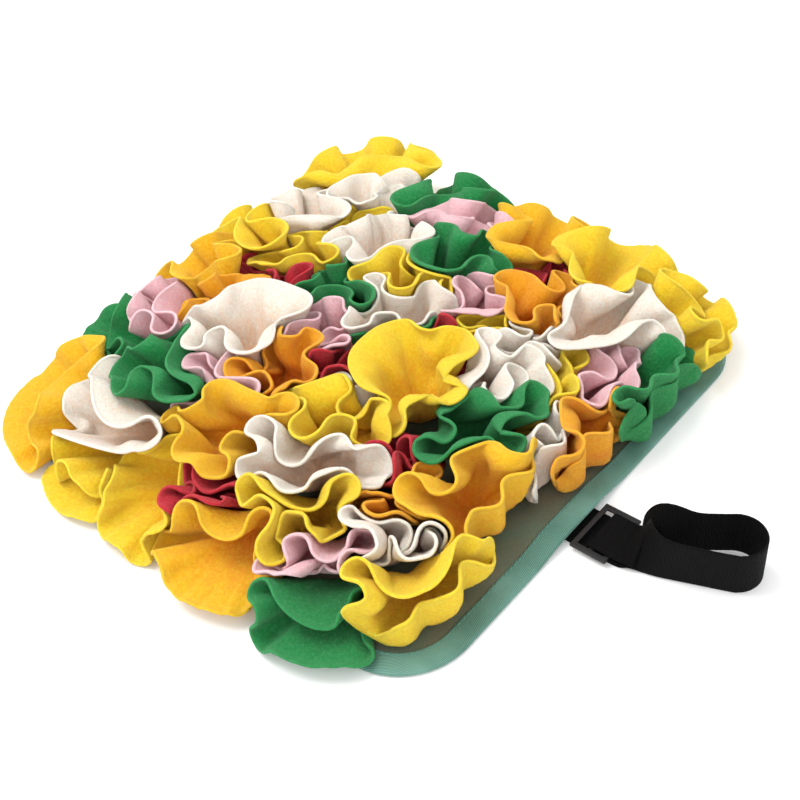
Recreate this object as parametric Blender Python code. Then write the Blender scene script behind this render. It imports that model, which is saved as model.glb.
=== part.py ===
"""Square snuffle mat: a bound base sheet, gathered fleece discs, and an anchor strap with its slider."""
import math

import bmesh
import bpy
import numpy as np

# ---------- driving dimensions, in metres ----------
MAT_SIDE = 0.450
CORNER_RADIUS = 0.058
BASE_TOP = 0.0027
BASE_RIM_UNDER = 0.0013
BIND_WIDTH = 0.018
BIND_TOP = 0.0040
BIND_CLOTH = 0.0010
BIND_ROUNDING = 0.0010
SEAT_GAP = 0.0003
STEP_RUN = 0.0004
BASE_INSET = BIND_CLOTH + 2 * SEAT_GAP
SMALLEST_RADIUS = 0.012
CORNER_STEPS = 6
STRAIGHT_STEPS = 12
INNER_RING = 0.065
LIFT_RING = 0.031

# the rim is lifted where the strap leaves under it
LIFT_HEIGHT = 0.0042
LIFT_FADE = 0.0278
LIFT_LOW_Y = -0.0557
LIFT_HIGH_Y = 0.0
LIFT_START_X = 0.160
LIFT_FULL_X = 0.194
LIFT_SPREAD = 0.004

# gathered fleece discs
FLEECE = 0.0030
EDGE_ZONE = 0.172
STAND = 1.08
OVERHANG = 0.012
FOOT_RADIUS = 0.0075
FOOT_FLOOR = 0.0045
FOOT_Z = BASE_TOP + SEAT_GAP
LEAN_HEIGHT = 0.050
CELL_MARGIN = 0.0008
RIM_LIMIT = 0.212
FOOT_LIMIT = 0.180
FOOT_SHARE = 0.88
SOFT_POWER = 8.0
FULLNESS = 1.25
DEPTH_SHARE = 0.72
MID_RISE = 0.48
MID_SPREAD = 0.60
MID_DEPTH_SHARE = 0.55
SAMPLES_A_FOLD = {3: 5, 4: 4, 5: 3, 6: 3}
RIM_WAVE = 0.0045
DROOP_POWER = 1.5
LEAST_FACING = 0.05
FAR_OFF = 1.0

# on the side with the strap the discs stop short of the binding: y of a disc, then its farthest x
SHORE_Y = (-0.21, -0.17, -0.13, -0.09, -0.03, 0.02, 0.06, 0.17)
SHORE_X = (0.236, 0.232, 0.224, 0.213, 0.208, 0.230, 0.240, 0.250)
SHORE_ZONE = 0.1

# webbing strap and its slider
WEB_WIDTH = 0.038
WEB_THICK = 0.0016
LOOP_CENTRE = (0.334, -0.004)
LOOP_RADIUS = 0.019
LOOP_FIRST = 125.0
LOOP_LAST = -68.0
LOOP_STEPS = 9
BAR_LENGTH = 0.003
BAR_LOW = 0.0040
BAR_HIGH = 0.0064
BAR_HALF = 0.0020
SLIDER_X = (0.232, 0.245, 0.258)
SLIDER_Y = (-0.0545, -0.0498, -0.0102, -0.0055)
TURN_RADIUS = 0.0023
TURN_STEPS = 6
TURN_BACK = 0.0016

COLOURS = {
    "lemon": (0.93, 0.62, 0.05), "gold": (0.95, 0.45, 0.01), "orange": (0.93, 0.28, 0.01),
    "cream": (0.86, 0.80, 0.72), "pink": (0.85, 0.46, 0.53), "green": (0.01, 0.28, 0.07),
    "red": (0.52, 0.01, 0.02), "teal": (0.13, 0.40, 0.32), "olive": (0.07, 0.14, 0.10),
    "black": (0.012, 0.012, 0.012),
}

# one row for each disc, in millimetres and degrees:
# name, colour, rim centre x, rim centre y, rim height, reach, folds, phase, fold depth, outward droop,
# and rank: 1 spreads over its neighbours, -1 is tucked under them
DISCS = (
    ("gold_far_left", "gold", -188, -180, 44, 54, 4, 10, 0.24, 0.35, -0.2),
    ("lemon_left_low", "lemon", -112, -207, 38, 52, 4, 60, 0.30, 0.45, -0.1),
    ("cream_left_large", "cream", -122, -174, 52, 64, 4, 30, 0.34, 0.45, 0.7),
    ("green_back_left", "green", -205, -92, 46, 46, 3, 100, 0.30, 0.15, 0.0),
    ("green_left_cup", "green", -116, -124, 52, 44, 3, 40, 0.38, 0.05, 1.0),
    ("pink_left_broad", "pink", -186, -60, 54, 46, 4, 80, 0.32, 0.10, 0.3),
    ("orange_left_fold", "orange", -154, -32, 50, 36, 3, 15, 0.42, 0.05, 0.1),
    ("cream_left_double", "cream", -106, -52, 54, 44, 5, 50, 0.36, 0.00, 0.8),
    ("gold_back_petal", "gold", -200, 2, 52, 52, 4, 20, 0.30, 0.08, 0.2),
    ("red_back_small", "red", -172, 20, 48, 30, 3, 70, 0.42, 0.10, -0.5),
    ("lemon_back_leaf", "lemon", -200, 70, 54, 46, 3, 10, 0.38, 0.05, 0.3),
    ("cream_back_left", "cream", -182, 112, 54, 50, 4, 45, 0.34, 0.03, 0.4),
    ("cream_back_ridge", "cream", -134, 168, 54, 46, 4, 5, 0.34, 0.00, 0.2),
    ("lemon_back_twin", "lemon", -138, 62, 50, 40, 5, 25, 0.36, 0.05, 0.2),
    ("red_back", "red", -114, 22, 50, 34, 4, 60, 0.42, 0.00, -0.3),
    ("green_back_square", "green", -76, 44, 52, 32, 4, 20, 0.44, 0.00, -0.1),
    ("lemon_top_dome", "lemon", -172, 200, 60, 50, 5, 35, 0.24, 0.06, 0.9),
    ("green_top_lobes", "green", -86, 205, 52, 52, 4, 75, 0.32, 0.08, 0.4),
    ("lemon_back_angle", "lemon", -128, 122, 50, 38, 3, 85, 0.42, 0.05, -0.2),
    ("cream_back_bulb", "cream", -82, 112, 52, 42, 5, 10, 0.34, 0.00, 0.7),
    ("pink_back_large", "pink", -42, 174, 54, 48, 4, 40, 0.34, 0.05, 0.5),
    ("green_back_dome", "green", -22, 130, 50, 40, 4, 0, 0.34, 0.00, 0.9),
    ("gold_back_right", "gold", 20, 202, 54, 54, 4, 55, 0.30, 0.08, 0.3),
    ("lemon_right_run", "lemon", 108, 196, 52, 58, 4, 15, 0.28, 0.12, 0.6),
    ("red_right_back", "red", 62, 158, 48, 40, 5, 30, 0.42, 0.05, -0.6),
    ("orange_right_cup", "orange", 84, 118, 52, 42, 5, 65, 0.38, 0.00, 0.3),
    ("cream_right_large", "cream", 150, 136, 52, 52, 3, 20, 0.30, 0.10, 0.9),
    ("lemon_right_corner", "lemon", 180, 176, 50, 44, 4, 80, 0.32, 0.20, 0.5),
    ("green_right_leaf", "green", 208, 94, 46, 50, 3, 50, 0.36, 0.45, 1.0),
    ("pink_right_lobes", "pink", 172, 76, 50, 42, 4, 25, 0.40, 0.10, 0.4),
    ("orange_right_low", "orange", 206, 24, 46, 48, 4, 70, 0.34, 0.45, 0.4),
    ("lemon_right_fold", "lemon", 142, 46, 52, 36, 3, 60, 0.42, 0.00, -0.2),
    ("cream_right_strip", "cream", 98, 62, 54, 36, 5, 5, 0.40, 0.00, -0.2),
    ("pink_centre_back", "pink", 36, 100, 52, 34, 5, 45, 0.42, 0.00, -0.2),
    ("lemon_centre_back", "lemon", -34, 84, 54, 36, 4, 30, 0.38, 0.00, 0.1),
    ("cream_centre_cup", "cream", -18, 46, 54, 38, 4, 70, 0.36, 0.00, -0.1),
    ("green_rosette", "green", 12, 18, 52, 26, 5, 15, 0.44, 0.00, -0.7),
    ("lemon_centre_loops", "lemon", 62, -14, 56, 44, 5, 50, 0.40, 0.00, 1.0),
    ("cream_centre_right", "cream", 102, 14, 54, 40, 5, 20, 0.38, 0.00, 0.5),
    ("green_centre_cup", "green", 128, -26, 54, 44, 4, 65, 0.38, 0.00, 0.9),
    ("cream_right_band", "cream", 176, -16, 48, 44, 4, 35, 0.38, 0.15, 0.2),
    ("red_front_rosette", "red", 96, -72, 54, 36, 5, 10, 0.44, 0.00, -0.7),
    ("red_centre_rosette", "red", -6, -30, 52, 32, 5, 55, 0.44, 0.00, -0.4),
    ("pink_centre", "pink", -48, -10, 52, 38, 4, 80, 0.40, 0.00, -0.3),
    ("lemon_centre", "lemon", 34, -82, 54, 42, 5, 30, 0.40, 0.00, 0.2),
    ("orange_centre_left", "orange", -52, -66, 52, 36, 5, 0, 0.42, 0.00, 0.2),
    ("pink_left_salmon", "pink", -72, -108, 50, 38, 4, 45, 0.40, 0.00, 0.3),
    ("gold_left_loops", "gold", -30, -142, 52, 42, 5, 70, 0.40, 0.00, 0.5),
    ("cream_front_curves", "cream", 46, -126, 54, 42, 6, 20, 0.40, 0.00, 0.5),
    ("red_left_front", "red", 2, -186, 48, 40, 5, 60, 0.42, 0.10, -0.1),
    ("lemon_front_fold", "lemon", 72, -168, 52, 40, 4, 15, 0.42, 0.05, 0.3),
    ("pink_front_loops", "pink", 116, -182, 48, 44, 4, 40, 0.42, 0.15, 0.2),
    ("lemon_left_front", "lemon", -42, -206, 40, 52, 4, 25, 0.34, 0.35, 0.2),
    ("gold_front_large", "gold", 42, -212, 38, 60, 4, 75, 0.26, 0.40, 0.6),
    ("green_front", "green", 138, -210, 36, 54, 4, 5, 0.38, 0.45, 0.7),
    ("orange_front_spiral", "orange", 124, -114, 52, 34, 5, 35, 0.44, 0.00, -0.4),
    ("cream_front_small", "cream", 150, -142, 50, 42, 5, 85, 0.42, 0.05, 0.0),
    ("gold_right_front", "gold", 174, -82, 50, 58, 5, 45, 0.36, 0.35, 0.9),
    ("lemon_front_corner", "lemon", 184, -170, 42, 60, 5, 20, 0.34, 0.45, 0.9),
)
# discs that have no solid here, but whose place is kept free: rim centre x, rim centre y, reach, rank
KEPT_FREE = ((56, 34, 26, -0.6), (14, -62, 28, -0.5), (62, 68, 26, -0.5))
NO_SOLID = ("cream_back_ridge", "red_back_small", "lemon_back_angle")

# webbing stations: lower edge x, y, z (mm), heading (degrees), tilt of the width from the floor (degrees)
WEB_OUT = (
    (176.5, -49.0, 0.8, 0, 0), (205, -49.0, 0.8, 0, 0), (240, -49.0, 0.8, 0, 0), (264, -48.8, 0.8, 4, 0),
    (272, -45.5, 0.8, 12, 3), (280, -36.0, 0.9, 30, 18), (288, -21.0, 1.0, 40, 50),
    (299, -5.5, 1.0, 40, 86), (311, 3.0, 1.0, 36, 90),
)
WEB_BACK = (
    (318, -30.5, 1.0, -159, 90), (296, -39.0, 1.0, -160, 95), (284, -42.8, 1.2, -168, 115),
    (275, -46.0, 2.6, -174, 146), (268, -48.6, 2.9, -178, 170), (262, -49.0, 2.9, -180, 180),
    (250, -49.0, 2.9, -180, 180),
)
WEB_END = (
    (250, -49.0, 7.5, 0, 0), (262, -49.0, 7.5, 0, 0), (268, -48.7, 7.1, 1, 8), (274, -47.0, 6.2, 3, 28),
    (278, -46.0, 5.2, 5, 42),
)
MM = 0.001


def clear_scene():
    """Remove every object left from before."""
    for thing in list(bpy.data.objects):
        bpy.data.objects.remove(thing)


def ramp(low, high, value):
    """Rise evenly from 0 at low to 1 at high."""
    return min(1.0, max(0.0, (value - low) / (high - low)))


def lift(x, y, spread=0.0):
    """How far the mat is raised off the floor at a point; spread widens the raised part."""
    along = ramp(LIFT_START_X - spread, LIFT_FULL_X - spread, x)
    below = ramp(LIFT_LOW_Y - LIFT_FADE - spread, LIFT_LOW_Y - spread, y)
    above = ramp(LIFT_HIGH_Y + spread, LIFT_HIGH_Y + LIFT_FADE + spread, y)
    return LIFT_HEIGHT * along * below * (1.0 - above)


def make_object(name, points, faces, colour, smooth):
    """Build one closed mesh object with its own material."""
    mesh = bpy.data.meshes.new(name)
    mesh.from_pydata([tuple(point) for point in points], [], faces)
    work = bmesh.new()
    work.from_mesh(mesh)
    bmesh.ops.triangulate(work, faces=work.faces[:])
    bmesh.ops.recalc_face_normals(work, faces=work.faces)
    work.to_mesh(mesh)
    work.free()
    for face in mesh.polygons:
        face.use_smooth = smooth
    material = bpy.data.materials.new("mat_" + name)
    material.use_nodes = True
    shader = material.node_tree.nodes["Principled BSDF"]
    shader.inputs["Base Color"].default_value = COLOURS[colour] + (1.0,)
    shader.inputs["Roughness"].default_value = 0.85
    mesh.materials.append(material)
    thing = bpy.data.objects.new(name, mesh)
    bpy.context.collection.objects.link(thing)
    return thing


def outline(inset):
    """Points round the rounded square, moved in by inset; the same count for every inset."""
    half = MAT_SIDE / 2 - inset
    radius = max(CORNER_RADIUS - inset, SMALLEST_RADIUS)
    reach = half - radius
    points = []
    for quarter in range(4):
        turn = quarter * math.pi / 2
        local = []
        for step in range(STRAIGHT_STEPS):
            local.append((half, -reach + 2 * reach * step / STRAIGHT_STEPS))
        for step in range(CORNER_STEPS):
            angle = math.pi / 2 * step / CORNER_STEPS
            local.append((reach + radius * math.cos(angle), reach + radius * math.sin(angle)))
        for x, y in local:
            points.append((x * math.cos(turn) - y * math.sin(turn), x * math.sin(turn) + y * math.cos(turn)))
    return points


def band(first, second, count):
    """Quads between two rings, as lists of four indices."""
    faces = []
    for step in range(count):
        after = (step + 1) % count
        faces.append((first + step, first + after, second + after, second + step))
    return faces


def ring_body(sections, closed):
    """Loft rings of equal count given as (inset, height); closed makes a tube, open ends in two fans."""
    points = []
    faces = []
    count = len(outline(0.0))
    for inset, height in sections:
        for x, y in outline(inset):
            points.append((x, y, height + lift(x, y)))
    for number in range(len(sections) - 1):
        faces += band(number * count, (number + 1) * count, count)
    if closed:
        faces += band((len(sections) - 1) * count, 0, count)
    else:
        for number, height in ((0, sections[0][1]), (len(sections) - 1, sections[-1][1])):
            middle = len(points)
            points.append((0.0, 0.0, height))
            for step in range(count):
                faces.append((number * count + step, number * count + (step + 1) % count, middle))
    return points, faces


def base_sheet():
    """The backed base sheet: thinner at its rim, where the binding folds round it."""
    step_in = BIND_WIDTH + SEAT_GAP
    sections = (
        (INNER_RING, 0.0), (LIFT_RING, 0.0), (step_in + STEP_RUN, 0.0), (step_in, BASE_RIM_UNDER),
        (BASE_INSET, BASE_RIM_UNDER), (BASE_INSET, BASE_TOP), (LIFT_RING, BASE_TOP), (INNER_RING, BASE_TOP),
    )
    points, faces = ring_body(sections, False)
    make_object("base_sheet", points, faces, "olive", False)


def binding():
    """Tape folded round the rim of the base sheet."""
    inner_edge = BIND_CLOTH
    sections = (
        (BIND_WIDTH, BIND_TOP), (BIND_ROUNDING, BIND_TOP), (0.0, BIND_TOP - BIND_ROUNDING),
        (0.0, BIND_ROUNDING), (BIND_ROUNDING, 0.0), (BIND_WIDTH, 0.0), (BIND_WIDTH, BIND_CLOTH),
        (inner_edge, BIND_CLOTH), (inner_edge, BIND_TOP - BIND_CLOTH), (BIND_WIDTH, BIND_TOP - BIND_CLOTH),
    )
    points, faces = ring_body(sections, True)
    make_object("binding_tape", points, faces, "teal", False)


def disc_seats():
    """Rim centres, feet and sizes of all the discs, with those that are kept free at the end."""
    rows = [(row[2] * MM, row[3] * MM, row[5] * MM, row[10]) for row in DISCS]
    rows += [(x * MM, y * MM, reach * MM, rank) for x, y, reach, rank in KEPT_FREE]
    rims = np.clip(np.array([(x, y) for x, y, _, _ in rows]), -RIM_LIMIT, RIM_LIMIT)
    feet = np.clip(rims * FOOT_SHARE, -FOOT_LIMIT, FOOT_LIMIT)
    return rims, feet, np.array([row[2] for row in rows]), np.array([row[3] for row in rows])


def walls_of(number, rims, feet, reaches, ranks):
    """Upright-leaning planes between one disc and each other: direction, place at the floor, lean."""
    planes = []
    for other in range(len(rims)):
        if other == number:
            continue
        apart = (rims[other] - rims[number]) + (feet[other] - feet[number])
        distance = np.linalg.norm(apart)
        normal = apart / distance
        share = reaches[number] / (reaches[number] + reaches[other])
        low = (feet[number] + (feet[other] - feet[number]) * share) @ normal
        high = (rims[number] + (rims[other] - rims[number]) * share) @ normal
        high += OVERHANG * (ranks[number] - ranks[other])
        planes.append((normal[0], normal[1], low, high))
    if rims[number][0] > SHORE_ZONE:
        shore = np.interp(rims[number][1], SHORE_Y, SHORE_X)
        planes.append((1.0, 0.0, shore, shore))
    return np.array(planes)


def centre_at(number, rims, feet, height):
    """Where the axis of a disc is at a height above the base."""
    share = (height - FOOT_Z) / LEAN_HEIGHT
    return feet[number] + (rims[number] - feet[number]) * share


def room(planes, centre, direction, height):
    """Distance from the axis to the nearest wall in a direction, less the margin."""
    share = (height - FOOT_Z) / LEAN_HEIGHT
    nearest = FAR_OFF
    for normal_x, normal_y, low, high in planes:
        facing = normal_x * direction[0] + normal_y * direction[1]
        if facing > LEAST_FACING:
            place = low + (high - low) * share
            gap = place - (normal_x * centre[0] + normal_y * centre[1]) - CELL_MARGIN
            nearest = min(nearest, gap / facing)
    return nearest


def soft_least(first, second):
    """A smooth value just under the smaller of two lengths."""
    return (first ** -SOFT_POWER + second ** -SOFT_POWER) ** (-1.0 / SOFT_POWER)


def gathered_disc(number, rims, feet, reaches, ranks):
    """One gathered disc: a ruffled cup on a small sewn foot."""
    name, colour, _, _, height_mm, reach_mm, folds, phase, depth, droop, _ = DISCS[number]
    if name in NO_SOLID:
        return
    planes = walls_of(number, rims, feet, reaches, ranks)
    reach = reach_mm * MM * (1.0 if np.abs(rims[number]).max() > EDGE_ZONE else FULLNESS)
    depth = depth * DEPTH_SHARE
    height = height_mm * MM * STAND
    outward = rims[number] / max(np.linalg.norm(rims[number]), 0.001)
    count = SAMPLES_A_FOLD[folds] * folds
    turns = [2 * math.pi * step / count for step in range(count)]
    rings = {"foot": [], "mid": [], "rim": [], "rim_in": [], "mid_in": []}
    for turn in turns:
        direction = np.array((math.cos(turn), math.sin(turn)))
        wave = 0.5 - 0.5 * math.cos(folds * turn + math.radians(phase))
        facing_out = max(0.0, float(direction @ outward))
        rim_z = height * (1.0 - droop * facing_out ** DROOP_POWER) - RIM_WAVE * wave
        mid_z = FOOT_Z + MID_RISE * (rim_z - FOOT_Z)
        foot_centre = centre_at(number, rims, feet, FOOT_Z)
        rings["foot"].append((foot_centre + direction * FOOT_RADIUS, FOOT_Z))
        rim_centre = centre_at(number, rims, feet, rim_z)
        free = soft_least(reach, room(planes, rim_centre, direction, rim_z))
        rim_r = free * (1.0 - depth * wave)
        mid_centre = centre_at(number, rims, feet, mid_z)
        free = soft_least(reach * MID_SPREAD, room(planes, mid_centre, direction, mid_z))
        mid_r = free * (1.0 - depth * MID_DEPTH_SHARE * wave)
        rings["rim"].append((rim_centre + direction * rim_r, rim_z))
        rings["mid"].append((mid_centre + direction * mid_r, mid_z))
        rings["rim_in"].append((rim_centre + direction * (rim_r - FLEECE), rim_z))
        rings["mid_in"].append((mid_centre + direction * (mid_r - FLEECE), mid_z))
    points = []
    for key in ("foot", "mid", "rim", "rim_in", "mid_in"):
        for place, z in rings[key]:
            points.append((place[0], place[1], z + lift(place[0], place[1], LIFT_SPREAD)))
    faces = []
    for ring in range(4):
        faces += band(ring * count, (ring + 1) * count, count)
    floor_z = FOOT_Z + FOOT_FLOOR
    floor_centre = centre_at(number, rims, feet, floor_z)
    middle = len(points)
    points.append((floor_centre[0], floor_centre[1], floor_z + lift(floor_centre[0], floor_centre[1], LIFT_SPREAD)))
    for step in range(count):
        faces.append((4 * count + step, 4 * count + (step + 1) % count, middle))
    faces.append(tuple(range(count)))
    make_object("disc_" + name, points, faces, colour, False)


def web_station(x, y, z, heading, tilt):
    """Lower edge point and the width direction of the webbing at one station."""
    sideways = np.array((-math.sin(math.radians(heading)), math.cos(math.radians(heading)), 0.0))
    upright = np.array((0.0, 0.0, 1.0))
    width = math.cos(math.radians(tilt)) * sideways + math.sin(math.radians(tilt)) * upright
    return np.array((x, y, z)), width


def web_stations():
    """All stations of the webbing: out, round the loop, back, round the bar, and the turned-back end."""
    stations = [web_station(x * MM, y * MM, z * MM, h, t) for x, y, z, h, t in WEB_OUT]
    for step in range(LOOP_STEPS):
        angle = LOOP_FIRST + (LOOP_LAST - LOOP_FIRST) * step / (LOOP_STEPS - 1)
        x = LOOP_CENTRE[0] + LOOP_RADIUS * math.cos(math.radians(angle))
        y = LOOP_CENTRE[1] + LOOP_RADIUS * math.sin(math.radians(angle))
        stations.append(web_station(x, y, MM, angle - 90, 90))
    stations += [web_station(x * MM, y * MM, z * MM, h, t) for x, y, z, h, t in WEB_BACK]
    bar_z = (BAR_LOW + BAR_HIGH) / 2
    for step in range(TURN_STEPS + 1):
        angle = math.pi * step / TURN_STEPS
        x = SLIDER_X[1] - TURN_BACK - TURN_RADIUS * math.sin(angle)
        z = bar_z - TURN_RADIUS * math.cos(angle)
        stations.append((np.array((x, WEB_BACK[-1][1] * MM, z)), np.array((0.0, 1.0, 0.0))))
    stations += [web_station(x * MM, y * MM, z * MM, h, t) for x, y, z, h, t in WEB_END]
    return stations


def webbing():
    """The strap as one ribbon with a rectangular section."""
    stations = web_stations()
    middles = [edge + width * WEB_WIDTH / 2 for edge, width in stations]
    points = []
    for number, (edge, width) in enumerate(stations):
        before = middles[max(0, number - 1)]
        after = middles[min(len(middles) - 1, number + 1)]
        along = (after - before) / np.linalg.norm(after - before)
        face = np.cross(along, width)
        face = face / np.linalg.norm(face) * WEB_THICK / 2
        far = edge + width * WEB_WIDTH
        points += [edge - face, far - face, far + face, edge + face]
    faces = []
    for number in range(len(stations) - 1):
        for side in range(4):
            after = (side + 1) % 4
            faces.append((number * 4 + side, number * 4 + after, number * 4 + 4 + after, number * 4 + 4 + side))
    last = (len(stations) - 1) * 4
    faces.append((0, 1, 2, 3))
    faces.append((last, last + 1, last + 2, last + 3))
    make_object("webbing_strap", points, faces, "black", False)


def slider():
    """A flat three-bar slider: a frame with two slots, as one grid of filled cells."""
    xs = []
    for x in SLIDER_X:
        xs += [x - BAR_HALF, x + BAR_HALF]
    ys = list(SLIDER_Y)
    filled = {}
    for column in range(len(xs) - 1):
        for row in range(len(ys) - 1):
            between_bars = column % 2 == 1 and row == 1
            filled[(column, row)] = not between_bars
    points = []
    for z in (BAR_LOW, BAR_HIGH):
        for x in xs:
            for y in ys:
                points.append((x, y, z))

    def at(level, column, row):
        return level * len(xs) * len(ys) + column * len(ys) + row

    faces = []
    for (column, row), solid in filled.items():
        if not solid:
            continue
        corners = ((column, row), (column + 1, row), (column + 1, row + 1), (column, row + 1))
        sides = ((column, row - 1), (column + 1, row), (column, row + 1), (column - 1, row))
        for level in (0, 1):
            faces.append(tuple(at(level, c, r) for c, r in corners))
        for number in range(4):
            if not filled.get(sides[number], False):
                first = corners[number]
                second = corners[(number + 1) % 4]
                faces.append((at(0, *first), at(0, *second), at(1, *second), at(1, *first)))
    make_object("strap_slider", points, faces, "black", False)


def build():
    """Make every piece."""
    clear_scene()
    base_sheet()
    binding()
    webbing()
    slider()
    rims, feet, reaches, ranks = disc_seats()
    for number in range(len(DISCS)):
        gathered_disc(number, rims, feet, reaches, ranks)


build()
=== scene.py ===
# %% [markdown]
# # A snuffle mat of gathered fleece
# The real mat is a square sheet of cloth, bound round its rim with satin twill tape.
# Discs of brushed fleece are pinched at the middle and sewn down, so that each stands up as a
# ruffle, and a black webbing strap with a slider leaves under one side.
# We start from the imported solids, which hold every size and place, and make the soft pieces anew.
# All lengths are in metres, and tables that are easier to read in millimetres say so.

# %% Load the frame
import math
import bmesh
import bpy
import numpy as np
from mathutils import Matrix, Vector


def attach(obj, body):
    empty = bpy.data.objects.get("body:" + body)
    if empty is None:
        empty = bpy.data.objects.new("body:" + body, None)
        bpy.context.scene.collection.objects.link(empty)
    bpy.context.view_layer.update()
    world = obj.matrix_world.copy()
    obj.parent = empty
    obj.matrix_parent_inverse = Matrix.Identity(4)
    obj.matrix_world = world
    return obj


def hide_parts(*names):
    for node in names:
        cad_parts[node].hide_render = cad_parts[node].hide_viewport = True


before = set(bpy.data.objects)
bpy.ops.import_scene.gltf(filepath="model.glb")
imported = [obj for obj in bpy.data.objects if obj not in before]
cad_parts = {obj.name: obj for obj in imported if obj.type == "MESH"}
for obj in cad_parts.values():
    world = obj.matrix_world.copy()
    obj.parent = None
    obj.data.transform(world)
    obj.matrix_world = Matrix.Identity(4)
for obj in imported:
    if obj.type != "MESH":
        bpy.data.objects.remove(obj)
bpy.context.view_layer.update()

MM = 0.001


# %% [markdown]
# ## Shader maths as plain expressions
# A material is a web of nodes. A small class that wraps a socket lets us write sums in Python and
# have the Math nodes made for us, which reads far better than forty lines of links.

# %% A socket that can be added and multiplied
class Val:
    """One node socket, with the operators that the materials use."""

    def __init__(self, paint, socket):
        self.paint = paint
        self.socket = socket

    def _math(self, operation, first, second=None):
        wanted = {0: first}
        if second is not None:
            wanted[1] = second
        return self.paint.node("ShaderNodeMath", {"operation": operation}, wanted)

    def __add__(self, other):
        return self._math("ADD", self, other)

    def __sub__(self, other):
        return self._math("SUBTRACT", self, other)

    def __rsub__(self, other):
        return self._math("SUBTRACT", other, self)

    def __mul__(self, other):
        return self._math("MULTIPLY", self, other)

    __radd__ = __add__
    __rmul__ = __mul__

    def sine(self):
        return self._math("SINE", self)

    def clamped(self):
        return self._math("MAXIMUM", self._math("MINIMUM", self, 1.0), 0.0)


class Paint:
    """One material: makes nodes, and sets or links their sockets."""

    def __init__(self, name):
        self.material = bpy.data.materials.new(name)
        self.material.use_nodes = True
        self.tree = self.material.node_tree
        self.shader = self.tree.nodes["Principled BSDF"]

    def put(self, socket, value):
        if isinstance(value, Val):
            self.tree.links.new(value.socket, socket)
        elif hasattr(socket.default_value, "__len__") and len(socket.default_value) == 4:
            socket.default_value = tuple(value) + (1.0,) * (4 - len(value))
        else:
            socket.default_value = value

    def node(self, kind, settings, sockets, output=0):
        made = self.tree.nodes.new(kind)
        for key, value in settings.items():
            setattr(made, key, value)
        for key, value in sockets.items():
            self.put(made.inputs[key], value)
        return Val(self, made.outputs[output])

    def mix(self, share, first, second):
        """Mix two colours."""
        return self.node("ShaderNodeMix", {"data_type": "RGBA"}, {0: share, 6: first, 7: second}, 2)

    def place(self):
        return self.node("ShaderNodeTexCoord", {}, {}, "Object")

    def attribute(self, name, output="Fac"):
        return self.node("ShaderNodeAttribute", {"attribute_name": name}, {}, output)

    def noise(self, where, scale, detail=2.0, roughness=0.5):
        return self.node("ShaderNodeTexNoise", {}, {
            "Vector": where, "Scale": scale, "Detail": detail, "Roughness": roughness}, "Fac")

    def split(self, where):
        made = self.tree.nodes.new("ShaderNodeSeparateXYZ")
        self.put(made.inputs[0], where)
        return [Val(self, made.outputs[number]) for number in range(3)]

    def bump(self, height, strength, distance):
        return self.node("ShaderNodeBump", {}, {"Height": height, "Strength": strength, "Distance": distance})

    def finish(self, **sockets):
        for key, value in sockets.items():
            self.put(self.shader.inputs[key.replace("_", " ")], value)
        return self.material


print("paint kit ready")


# %% Helpers for meshes
def placed(name, data):
    """A new object with this data, in the scene."""
    made = bpy.data.objects.new(name, data)
    bpy.context.collection.objects.link(made)
    return made


def band_faces(rows, count, closed=False):
    """Quads between rings of points; a closed band also joins its last ring to its first."""
    faces = []
    for row in range(rows if closed else rows - 1):
        first, second = row * count, (row + 1) % rows * count
        for k in range(count):
            after = (k + 1) % count
            faces.append((first + k, first + after, second + after, second + k))
    return faces


def closed_piece(name, points, faces, marks):
    """A smooth piece whose faces look outwards, with numbers or vectors kept at its points."""
    mesh = bpy.data.meshes.new(name)
    mesh.from_pydata(points, [], faces)
    for mark, values in marks.items():
        kind, field = ("FLOAT", "value") if values.ndim == 1 else ("FLOAT_VECTOR", "vector")
        mesh.attributes.new(mark, kind, "POINT").data.foreach_set(field, values.ravel())
    mesh.shade_smooth()
    work = bmesh.new()
    work.from_mesh(mesh)
    bmesh.ops.recalc_face_normals(work, faces=work.faces)
    work.to_mesh(mesh)
    work.free()
    return placed(name, mesh)


print("mesh helpers ready")


# %% [markdown]
# ## The camera
# The camera was fitted to the mat's visible sides: it looks down at about 42 degrees, onto one
# corner of the square, through a lens of about 54 mm on a 36 mm frame.
# It comes first, so that every later step is judged in the same view.

# %% Place the camera
FOCAL_PIXELS = 1200.0
FRAME_PIXELS = 800.0
SENSOR = 36.0
CAMERA_RISE = math.radians(42.0)
CAMERA_TURN = math.radians(44.5)
CAMERA_ROLL = math.radians(6.44)
CAMERA_AIM = Vector((0.025, -0.002, 0.0))
CAMERA_DISTANCE = 1.003

toward_camera = Vector((math.sin(CAMERA_TURN) * math.cos(CAMERA_RISE),
                        -math.cos(CAMERA_TURN) * math.cos(CAMERA_RISE), math.sin(CAMERA_RISE)))
rightward = Vector((math.cos(CAMERA_TURN), math.sin(CAMERA_TURN), 0.0))
upward = toward_camera.cross(rightward)
camera_data = bpy.data.cameras.new("view_camera")
camera_data.sensor_width = SENSOR
camera_data.lens = FOCAL_PIXELS / FRAME_PIXELS * SENSOR
camera = placed("view_camera", camera_data)
axes = Matrix((rightward, upward, toward_camera)).transposed().to_4x4()
camera.matrix_world = (Matrix.Translation(CAMERA_AIM + toward_camera * CAMERA_DISTANCE) @ axes
                       @ Matrix.Rotation(-CAMERA_ROLL, 4, "Z"))
bpy.context.scene.camera = camera
print("camera at", [round(value, 3) for value in camera.matrix_world.translation])


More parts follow.
